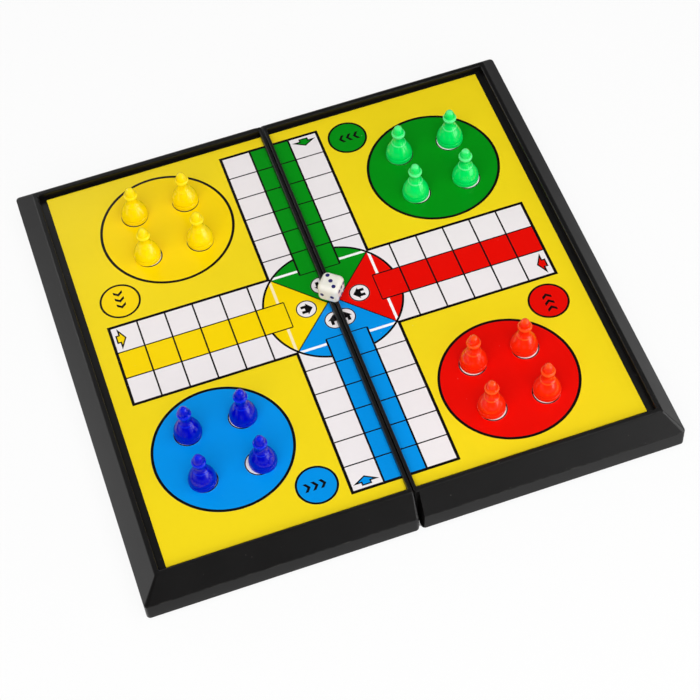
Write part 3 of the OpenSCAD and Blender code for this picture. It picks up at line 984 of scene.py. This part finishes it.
    def knuckles_and_tabs(self):
        """What stands out from the tray: its own knuckles and its four closing tabs."""
        s = self.s
        places = [hinge + place for hinge in self.hinges for place in self.own]
        bm = self.rods(places, s.knuckle_length, s.knuckle_radius, self.KNUCKLE_STEPS)
        for way in (-1, 1):
            self.tab(bm, Matrix.Translation((self.half_w - s.wall, way * self.tab_side, 0.0)))
            end = Matrix.Translation((self.tab_end, way * (self.half_d - s.wall), 0.0))
            self.tab(bm, end @ Matrix.Rotation(way * pi / 2, 4, "Z"))
        return bm

    def bores(self):
        """Pin bores through the knuckles."""
        room = self.hinge_length + 2 * self.s.hinge_clearance
        return self.rods(self.hinges, room, self.bore, self.BORE_STEPS)

    def bays(self):
        """Grooves in which the pins are laid to be pushed into the knuckles."""
        bay = PIN_HIGH.y - PIN_LOW.y + 2 * self.s.hinge_clearance
        middle = self.hinge - (self.hinge_length + bay) / 2
        return self.rods((-middle, middle), bay, PIN_RADIUS + self.s.running_clearance, self.BAY_STEPS)

    def build(self, name):
        """The finished half tray as a piece."""
        piece = new_object(name, mesh_of(name, self.body()))
        cutters = []
        for step, operation in (
            (self.relief, "DIFFERENCE"), (self.notches, "DIFFERENCE"), (self.knuckles_and_tabs, "UNION"),
            (self.bores, "DIFFERENCE"), (self.bays, "DIFFERENCE"),
        ):
            cutter = new_object(step.__name__, mesh_of(step.__name__, step()))
            cutters.append(cutter)
            cut = piece.modifiers.new(step.__name__, "BOOLEAN")
            cut.operation, cut.solver, cut.object = operation, "EXACT", cutter
        settle(piece)
        for cutter in cutters:
            bpy.data.objects.remove(cutter)
        return piece


def flip(mesh):
    """Mirrors a mesh across the fold."""
    bm = bmesh.new()
    bm.from_mesh(mesh)
    bmesh.ops.scale(bm, vec=(-1.0, 1.0, 1.0), verts=bm.verts)
    bmesh.ops.recalc_face_normals(bm, faces=bm.faces)
    bm.to_mesh(mesh)
    bm.free()


def pawn_outline(s):
    """Points of a pawn's outline, from the magnet's pocket round the foot to the top of the head."""

    def curve(middle, half_axes, start, stop, steps=8):
        return [
            (middle[0] + half_axes[0] * cos(a), middle[1] + half_axes[1] * sin(a))
            for a in arc(steps, radians(start), radians(stop))
        ]

    def drawn_in(wide, narrow, low, high, hollow, steps):
        """A stretch drawn in from one radius to another: bulging, or hollow."""
        shares = [step / steps for step in range(1, steps + 1)]
        return [
            (narrow + (wide - narrow) * ((1 - t) ** 2 if hollow else 1 - t ** s.bell_curve),
             low + (high - low) * t)
            for t in shares
        ]

    foot_in = s.foot_radius - s.foot_round
    bead = s.collar_height / 2
    collar_in = s.collar_radius - bead
    collar_top = s.shoulder + s.collar_height
    points = [(0.0, s.pocket_depth), (s.pocket_radius, s.pocket_depth), (s.pocket_radius, 0.0)]
    points += curve((foot_in, s.foot_round), (s.foot_round, s.foot_round), -90, 0)
    points += curve((foot_in, s.foot_height - s.foot_round), (s.foot_round, s.foot_round), 0, 90)
    bell_low = s.foot_height + s.foot_round
    points += curve((s.bell_radius - s.foot_round, bell_low), (s.foot_round, s.foot_round), -90, 0)
    points += drawn_in(s.bell_radius, collar_in, bell_low, s.shoulder, hollow=False, steps=16)
    points += curve((collar_in, s.shoulder + bead), (bead, bead), -90, 90)
    points += drawn_in(collar_in, s.neck_radius, collar_top, s.neck, hollow=True, steps=12)
    under_head = (s.head_radius - s.neck_radius, s.head_wide - s.head_low)
    points += curve((s.neck_radius, s.head_wide), under_head, -90, 0, steps=10)
    points += curve((s.dome_radius, s.head_wide), (s.head_radius - s.dome_radius, s.brim_height), 0, 90)
    dome_low = s.head_wide + s.brim_height
    dome_steps = 20
    for a in arc(dome_steps, 0.0, pi / 2)[1:]:
        rise = sin(a)
        radius = s.dome_radius * max(0.0, 1 - rise ** s.dome_point) ** s.dome_round
        points.append((radius, dome_low + (s.height - dome_low) * rise))
    kept, least_step = points[:1], 0.005 * MM
    for x, z in points[1:]:
        if abs(x - kept[-1][0]) + abs(z - kept[-1][1]) > least_step:
            kept.append((max(x, 0.0), z))
    return kept


def end_tree(bench, result, geometry, material):
    """Ends geometry nodes with a plain, smooth shape in its material."""
    whole = bench.shape("RealizeInstances", geometry)
    smooth = bench.shape("SetShadeSmooth", whole)
    bench.feed(result["Piece"], bench.shape("SetMaterial", smooth, Material=material))
    return bench.tree


def turning_nodes():
    """Geometry nodes that turn an outline about an upright axis and set it in its place."""
    bench, source, result = new_group(
        "Turned on a lathe", "GeometryNodeTree",
        [("Outline", GEOMETRY), ("Rows", WHOLE, 2), ("Segments", WHOLE, 72), ("Place", VECTOR),
         ("Plastic", MATERIAL)],
        [("Piece", GEOMETRY)],
    )
    grid = bench.grid(1.0, bench.plus(source["Segments"], 1.0), source["Rows"])
    spot = bench.parts(bench.points())
    row = bench.times(bench.plus(spot[1], 0.5), bench.minus(source["Rows"], 1.0))
    turn = bench.times(spot[0], 2 * pi)
    sample = bench.add(
        "GeometryNodeSampleIndex",
        {"Geometry": source["Outline"], "Index": bench.math("ROUND", row)}, data_type="FLOAT_VECTOR",
    )
    bench.feed(sample.inputs["Value"], bench.points())
    point = bench.parts(sample.outputs[0])
    turned = bench.join(
        bench.times(point[0], bench.math("COSINE", turn)),
        bench.times(point[0], bench.math("SINE", turn)),
        point[2],
    )
    placed = bench.vector("ADD", turned, source["Place"])
    moved = bench.shape("SetPosition", grid, Position=placed)
    closed = bench.shape("MergeByDistance", moved, Distance=0.002 * MM)
    return end_tree(bench, result, closed, source["Plastic"])


def pip_nodes():
    """Geometry nodes that lay a dish of paint on each place of a rounded cube and set it down."""
    bench, source, result = new_group(
        "Painted pips", "GeometryNodeTree",
        [("Places", GEOMETRY), ("Radius", FLOAT, 1 * MM), ("Depth", FLOAT, 0.4 * MM),
         ("Paint", FLOAT, 0.02 * MM), ("Half", FLOAT, 5 * MM), ("Rounding", FLOAT, 2.5 * MM),
         ("Turn", FLOAT, 0.0), ("Middle", VECTOR), ("Enamel", MATERIAL)],
        [("Piece", GEOMETRY)],
    )
    grid = bench.grid(2.0, 13, 13)
    x, y, _ = bench.parts(bench.points())

    def rounded(a, b):
        """Draws a square's point in to a disc."""
        part = bench.math("MULTIPLY_ADD", bench.times(b, b), -0.5, 1.0)
        return bench.times(a, bench.math("SQRT", part))

    disc_x, disc_y = rounded(x, y), rounded(y, x)
    out = bench.plus(bench.times(disc_x, disc_x), bench.times(disc_y, disc_y))
    sink = bench.math("MULTIPLY_ADD", bench.minus(out, 1.0), source["Depth"], source["Paint"])
    spread = bench.join(
        bench.times(disc_x, source["Radius"]), bench.times(disc_y, source["Radius"]), sink,
    )
    dish = bench.shape("SetPosition", grid, Position=spread)
    way = bench.add(
        "GeometryNodeInputNamedAttribute", {"Name": "facing"}, data_type="FLOAT_VECTOR",
    ).outputs[0]
    turn = bench.add("FunctionNodeAlignRotationToVector", {"Vector": way}, axis="Z")
    copies = bench.add("GeometryNodeInstanceOnPoints", {
        "Points": source["Places"], "Instance": dish, "Rotation": turn.outputs[0],
    })
    dishes = bench.shape("RealizeInstances", copies.outputs[0])

    # The flat dishes follow the rounding of the cube's edges
    spot = bench.points()
    along_way = bench.add("ShaderNodeVectorMath", {0: spot, 1: way}, operation="DOT_PRODUCT")
    lift = bench.vector("MULTIPLY", way, bench.minus(along_way.outputs["Value"], source["Half"]))
    flat = bench.vector("SUBTRACT", spot, lift)
    core = bench.minus(source["Half"], source["Rounding"])
    inner = bench.vector("MINIMUM", bench.vector("MAXIMUM", flat, bench.times(core, -1.0)), core)
    out = bench.vector("NORMALIZE", bench.vector("SUBTRACT", flat, inner))
    skin = bench.vector("ADD", inner, bench.vector("MULTIPLY", out, source["Rounding"]))
    bent = bench.vector("ADD", skin, lift)
    turned = bench.add(
        "ShaderNodeVectorRotate", {"Vector": bent, "Angle": source["Turn"]}, rotation_type="Z_AXIS",
    )
    placed = bench.vector("ADD", turned.outputs[0], source["Middle"])
    down = bench.shape("SetPosition", dishes, Position=placed)
    return end_tree(bench, result, down, source["Enamel"])


def run_nodes(piece, tree, **inputs):
    """Runs geometry nodes on a piece and keeps the plain mesh that they make."""
    modifier = piece.modifiers.new(tree.name, "NODES")
    modifier.node_group = tree
    for label, value in inputs.items():
        modifier[tree.interface.items_tree[label].identifier] = value
    return settle(piece)


# The die's faces: values, the way each face looks, and the two ways across it
DIE_FACES = {
    1: ((-1, 0, 0), (0, 0, 1), (0, 1, 0)),
    2: ((0, -1, 0), (1, 0, 0), (0, 0, 1)),
    3: ((0, 0, 1), (1, 0, 0), (0, 1, 0)),
    4: ((0, 0, -1), (1, 0, 0), (0, -1, 0)),
    5: ((0, 1, 0), (1, 0, 0), (0, 0, -1)),
    6: ((1, 0, 0), (0, 0, -1), (0, 1, 0)),
}
PIP_PLACES = {
    1: ((0, 0),),
    2: ((-1, 0), (1, 0)),
    3: ((-1, 1), (0, 0), (1, -1)),
    4: ((-1, -1), (-1, 1), (1, -1), (1, 1)),
    5: ((-1, -1), (-1, 1), (0, 0), (1, -1), (1, 1)),
    6: ((-1, -1), (-1, 0), (-1, 1), (1, -1), (1, 0), (1, 1)),
}


def die_sides():
    """For each face: its pips' places, the way it looks and the two ways across it."""
    for value, axes in DIE_FACES.items():
        yield PIP_PLACES[value], *(Vector(axis) for axis in axes)


def die_place(sizes):
    """Where the die lies: turned, on the rims."""
    return Matrix.Translation(DIE_MIDDLE) @ Matrix.Rotation(sizes.turn, 4, "Z")


def die_body(sizes):
    """A cube with rounded edges and a hollow for each pip."""
    steps, hollow_share = 88, 0.97
    half, core = sizes.side / 2, sizes.side / 2 - sizes.rounding
    hollow = sizes.pip_radius * hollow_share
    bm = bmesh.new()
    for places, facing, across, up in die_sides():
        pips = [Vector(place) * sizes.pip_step for place in places]
        rows = []
        for i in range(steps + 1):
            row = []
            for j in range(steps + 1):
                u, v = (half * (2 * k / steps - 1) for k in (i, j))
                flat = across * u + up * v + facing * half
                inner = Vector(max(-core, min(core, part)) for part in flat)
                point = inner + (flat - inner).normalized() * sizes.rounding
                for pip in pips:
                    out = ((u - pip.x) ** 2 + (v - pip.y) ** 2) / hollow ** 2
                    if out < 1.0:
                        point -= facing * sizes.pip_depth * (1.0 - out)
                row.append(bm.verts.new(point))
            rows.append(row)
        for i in range(steps):
            for j in range(steps):
                bm.faces.new((rows[i][j], rows[i + 1][j], rows[i + 1][j + 1], rows[i][j + 1]))
    bmesh.ops.remove_doubles(bm, verts=bm.verts, dist=0.0001 * MM)
    bmesh.ops.transform(bm, matrix=die_place(sizes), verts=bm.verts)
    return bm


# Operators


# Soft boxes: place, width, height, the setting with its power, and whether surfaces mirror it
SOFT_BOXES = {
    "left soft box": ((-0.74, 0.6, 0.3), 0.3, 0.3, "left_lamp", True),
    "right soft box": ((0.72, -0.52, 0.18), 0.8, 0.34, "right_lamp", True),
    "overhead soft box": ((0.37, -0.06, 0.92), 0.3, 0.35, "overhead_lamp", True),
    "back panel": ((-0.3, 1.05, 0.9), 0.7, 0.6, "back_lamp", True),
    "front diffuser": ((-0.3, -0.75, 1.05), 1.8, 1.8, "front_lamp", False),
}
SOFT_BOX_AIM = Vector((0.0, 0.0, 0.02))
SENSOR_WIDTH = 36.0
FLOOR_TINT = (0.86, 0.86, 0.85, 1.0)
FLOOR_HALF = 6.0

# Ramps of the sky, by direction: where each begins and ends, and its level at both
SKY_TO_RIGHT = (0.1, 0.4, 0.0, 0.38)
SKY_TO_FRONT = (-0.6, -0.2, 1.0, 0.0)
SKY_DIM = (-0.6, 0.6, 0.015, 0.05)
SWEEP_FOOT = (-0.5, 0.3, -0.04, 0.12)
SWEEP_TOP = (-0.5, 0.3, 0.06, 0.36)

# Ramps of the glow painted on the floor for gloss to mirror, by place in metres, and its level at both
# ends: painted light from the left and a painted shadow in front of the board
FLOOR_LEFT = (0.0, 0.2, 1.0, 0.12)
FLOOR_RIGHT = (-0.08, 0.1, 0.54, 0.13)
FLOOR_FRONT = (-0.1, 0.15, 0.3, 0.42)
FLOOR_SIDES = (-0.16, 0.16)
FLOOR_FRONT_EDGE = (-0.121, -0.117)

# Strips of floor under the fold, half their width and length: unlit in gloss, and shaded to the eye
UNLIT_STRIP = (4 * MM, 117.5 * MM)
SHADED_STRIP = (0.8 * MM, 115.5 * MM)


class LUDO_OT_stage(bpy.types.Operator):
    """Sets up the camera, the soft light and the pale floor"""

    bl_idname = "ludo.stage"
    bl_label = "Stage"

    def execute(self, context):
        studio = context.scene.ludo_studio
        context.scene.view_settings.view_transform = "Standard"
        self.camera(context, studio)
        self.world(context)
        self.soft_boxes(studio)
        self.floor(studio)
        return {"FINISHED"}

    def camera(self, context, studio):
        """Camera at the photograph's viewing angle."""
        back = Vector((
            sin(studio.azimuth) * cos(studio.elevation),
            -cos(studio.azimuth) * cos(studio.elevation),
            sin(studio.elevation),
        ))
        level = back.cross(Vector((0.0, 0.0, -1.0))).normalized()
        upward = back.cross(level)
        across = level * cos(studio.roll) + upward * sin(studio.roll)
        up = upward * cos(studio.roll) - level * sin(studio.roll)
        closing = context.scene.ludo_tray.closing_height
        target = Vector((studio.target_x, studio.target_y, closing))
        lens = bpy.data.cameras.new("camera")
        lens.sensor_width, lens.lens = SENSOR_WIDTH, studio.focal
        lens.clip_start, lens.clip_end = 0.01, 20.0
        camera = new_object("camera", lens)
        turn = Matrix((across, up, back)).transposed().to_4x4()
        camera.matrix_world = Matrix.Translation(target + back * studio.distance) @ turn
        context.scene.camera = camera

    def world(self, context):
        """A pale sweep up to a little above the horizon, and a dim studio over it."""
        context.scene.world = bpy.data.worlds.new("studio")
        bench = bare_bench(context.scene.world)
        way = bench.parts(bench.add("ShaderNodeTexCoord").outputs["Generated"])
        glow = bench.times(bench.span(way[0], *SKY_TO_RIGHT), bench.span(way[1], *SKY_TO_FRONT))
        upper = bench.plus(bench.span(way[1], *SKY_DIM), glow)
        sweep = bench.span(way[2], bench.span(way[1], *SWEEP_FOOT), bench.span(way[1], *SWEEP_TOP))
        level = bench.choose(sweep, 1.0, upper)
        seen = bench.add("ShaderNodeLightPath").outputs
        strength = bench.choose(seen["Is Camera Ray"], level, 1.0)
        sky = bench.add("ShaderNodeBackground", {"Color": WHITE, "Strength": strength}).outputs[0]
        bench.add("ShaderNodeOutputWorld", {"Surface": sky})

    def soft_boxes(self, studio):
        """Soft boxes round the board, all turned to it."""
        for name, (place, width, height, power, mirrored) in SOFT_BOXES.items():
            lamp = bpy.data.lights.new(name, "AREA")
            lamp.shape, lamp.size, lamp.size_y = "RECTANGLE", width, height
            lamp.energy = getattr(studio, power)
            holder = new_object(name, lamp)
            holder.location = place
            holder.visible_glossy = mirrored
            holder.rotation_mode = "QUATERNION"
            holder.rotation_quaternion = (Vector(place) - SOFT_BOX_AIM).to_track_quat("Z", "Y")

    def floor(self, studio):
        """A pale floor, which gloss sees as a glow with painted light and shade. The camera sees it as a
        faint veil on the white round the object.
        """
        bm = bmesh.new()
        bmesh.ops.create_grid(bm, x_segments=1, y_segments=1, size=FLOOR_HALF)
        floor = new_object("floor", mesh_of("floor", bm))
        material = bpy.data.materials.new("Pale floor")
        bench = bare_bench(material)
        spot = bench.parts(bench.place())

        def outside(half_width, half_length):
            """1 outside a strip under the fold."""
            beside = bench.above(bench.size(spot[0]), half_width)
            return bench.most(beside, bench.above(bench.size(spot[1]), half_length))

        def blend(factor, a, b):
            return bench.add("ShaderNodeMixShader", {0: factor, 1: a, 2: b}).outputs[0]

        # What gloss and glass see: a glowing floor with painted light from the left, a painted shadow in
        # front of the board and painted shade under the fold
        left, right = bench.span(spot[1], *FLOOR_LEFT), bench.span(spot[1], *FLOOR_RIGHT)
        sides = bench.span(spot[0], *FLOOR_SIDES, left, right)
        front = bench.span(spot[0], *FLOOR_FRONT)
        pale = bench.times(bench.span(spot[1], *FLOOR_FRONT_EDGE, front, sides), outside(*UNLIT_STRIP))
        glow = bench.add("ShaderNodeEmission", {"Color": WHITE, "Strength": pale}).outputs[0]
        matt = bench.add("ShaderNodeBsdfDiffuse", {"Color": FLOOR_TINT}).outputs[0]
        seen = bench.add("ShaderNodeLightPath").outputs
        mirrored = blend(bench.most(seen["Is Glossy Ray"], seen["Is Transmission Ray"]), matt, glow)

        # What the camera sees: a veil from above, and nothing from below
        veiled = bench.times(outside(*SHADED_STRIP), 1.0 - studio.floor_veil)
        below = bench.add("ShaderNodeNewGeometry").outputs["Backfacing"]
        through = bench.times(seen["Is Camera Ray"], bench.most(below, veiled))
        clear = bench.add("ShaderNodeBsdfTransparent", {"Color": WHITE}).outputs[0]
        bench.add("ShaderNodeOutputMaterial", {"Surface": blend(through, mirrored, clear)})
        dress(floor, material)
        floor.visible_shadow = False


class LUDO_OT_trays(bpy.types.Operator):
    """Makes the two half trays with their knuckles, pin bays and closing tabs"""

    bl_idname = "ludo.trays"
    bl_label = "Half trays"

    def execute(self, context):
        sizes = context.scene.ludo_tray
        material = black_plastic(sizes)
        step = sizes.knuckle_length + sizes.hinge_clearance
        middle, outer = (0.0,), (-step, step)
        held, running = PIN_RADIUS + sizes.holding_clearance, PIN_RADIUS + sizes.running_clearance
        halves = (
            ("left", 1, outer, middle, held, sizes.left_tab_side, sizes.left_tab_end),
            ("right", -1, middle, outer, running, sizes.right_tab_side, sizes.right_tab_end),
        )
        for side, *plan in halves:
            tray = Tray(sizes, *plan).build(f"{side}_tray")
            if side == "left":
                flip(tray.data)
            soften(tray.data, degrees=32)
            dress(tray, material)
            shade = tray.modifiers.new("flat faces stay flat", "WEIGHTED_NORMAL")
            shade.keep_sharp = True
            settle(tray)
            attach(tray, f"{side}_half")
            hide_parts(f"{side}_shell")
        return {"FINISHED"}


class LUDO_OT_playing_faces(bpy.types.Operator):
    """Gives the printed sheets their plan and the plates under them their steel"""

    bl_idname = "ludo.playing_faces"
    bl_label = "Playing faces"

    def execute(self, context):
        plan = printed_sheet(context.scene.ludo_print)
        steel = worked_metal(
            "Rolled steel plate", tint=(0.56, 0.55, 0.53), rough=0.3, metallic=1.0,
            stretch=(1.0, 0.04, 1.0),
        )
        for side in ("left", "right"):
            dress(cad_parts[f"{side}_print_sheet"], plan)
            dress(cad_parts[f"{side}_steel_plate"], steel)
        return {"FINISHED"}


class LUDO_OT_hinge_pins(bpy.types.Operator):
    """Gives the hinge pins their drawn steel"""

    bl_idname = "ludo.hinge_pins"
    bl_label = "Hinge pins"

    def execute(self, context):
        steel = worked_metal(
            "Drawn steel wire", tint=(0.62, 0.61, 0.6), rough=0.22, metallic=1.0,
            stretch=(1.0, 0.05, 1.0),
        )
        for place in ("front", "rear"):
            dress(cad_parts[f"{place}_hinge_pin"], steel)
        return {"FINISHED"}


class LUDO_OT_pawns(bpy.types.Operator):
    """Turns the sixteen pawns and finishes the magnets in their feet"""

    bl_idname = "ludo.pawns"
    bl_label = "Pawns"

    def execute(self, context):
        sizes = context.scene.ludo_pawns
        outline = pawn_outline(sizes)
        lathe = turning_nodes()
        ferrite = worked_metal(
            "Pressed ferrite", tint=(0.05, 0.05, 0.053), rough=0.5, metallic=0.3,
            stretch=(1.0, 1.0, 1.0),
        )
        for team in TEAMS:
            plastic = pawn_plastic(team, sizes, SHEET_HIGH.z)
            for seat in SEATS:
                node = f"{team}_pawn_{seat}"
                low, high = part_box(node)
                place = Vector(((low.x + high.x) / 2, (low.y + high.y) / 2, low.z))
                mesh = bpy.data.meshes.new(node)
                mesh.from_pydata([(x, 0.0, z) for x, z in outline], [], [])
                pawn = new_object(f"{team}_turned_pawn_{seat}", mesh)
                run_nodes(
                    pawn, lathe, Rows=len(outline), Segments=sizes.segments, Place=place, Plastic=plastic,
                )
                soften(pawn.data, degrees=40)
                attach(pawn, f"{team}_piece_{seat}")
                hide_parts(node)
                dress(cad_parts[f"{team}_magnet_{seat}"], ferrite)
        return {"FINISHED"}


class LUDO_OT_die(bpy.types.Operator):
    """Makes the die with hollowed and painted pips"""

    bl_idname = "ludo.die"
    bl_label = "Die"

    def execute(self, context):
        sizes = context.scene.ludo_die
        body = new_object("die_body", mesh_of("die_body", die_body(sizes)))
        dress(body, die_plastic(sizes))
        soften(body.data, degrees=60)
        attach(body, "die_piece")
        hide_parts("die")

        points, facings = [], []
        for places, facing, across, up in die_sides():
            for u, v in places:
                points.append(facing * sizes.side / 2 + (across * u + up * v) * sizes.pip_step)
                facings.append(facing)
        mesh = bpy.data.meshes.new("die_pips")
        mesh.from_pydata(points, [], [])
        mesh.attributes.new("facing", "FLOAT_VECTOR", "POINT")
        for item, facing in zip(mesh.attributes["facing"].data, facings):
            item.vector = facing
        pips = new_object("die_pips", mesh)
        run_nodes(
            pips, pip_nodes(), Radius=sizes.pip_radius, Depth=sizes.pip_depth, Paint=sizes.paint,
            Half=sizes.side / 2, Rounding=sizes.rounding, Turn=sizes.turn, Middle=DIE_MIDDLE,
            Enamel=pip_paint(sizes),
        )
        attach(pips, "die_piece")
        return {"FINISHED"}


class LUDO_PT_panel(bpy.types.Panel):
    """Lists the steps that dress the board"""

    bl_idname = "LUDO_PT_panel"
    bl_label = "Folding ludo board"
    bl_space_type = "VIEW_3D"
    bl_region_type = "UI"
    bl_category = "Ludo"

    def draw(self, context):
        for step in STEPS:
            self.layout.operator(step.bl_idname)


STEPS = (
    LUDO_OT_stage, LUDO_OT_trays, LUDO_OT_playing_faces, LUDO_OT_hinge_pins, LUDO_OT_pawns,
    LUDO_OT_die,
)
GROUPS = {
    "ludo_tray": TraySizes, "ludo_print": PrintSizes, "ludo_pawns": PawnSizes, "ludo_die": DieSizes,
    "ludo_studio": StudioSettings,
}


def register():
    for kind in (*GROUPS.values(), *STEPS, LUDO_PT_panel):
        bpy.utils.register_class(kind)
    for name, kind in GROUPS.items():
        setattr(bpy.types.Scene, name, PointerProperty(type=kind))


def unregister():
    for name in GROUPS:
        delattr(bpy.types.Scene, name)
    for kind in (LUDO_PT_panel, *reversed(STEPS), *reversed(GROUPS.values())):
        bpy.utils.unregister_class(kind)


def main():
    register()
    bpy.ops.ludo.stage()
    bpy.ops.ludo.trays()
    bpy.ops.ludo.playing_faces()
    bpy.ops.ludo.hinge_pins()
    bpy.ops.ludo.pawns()
    bpy.ops.ludo.die()


if __name__ == "__main__":
    main()
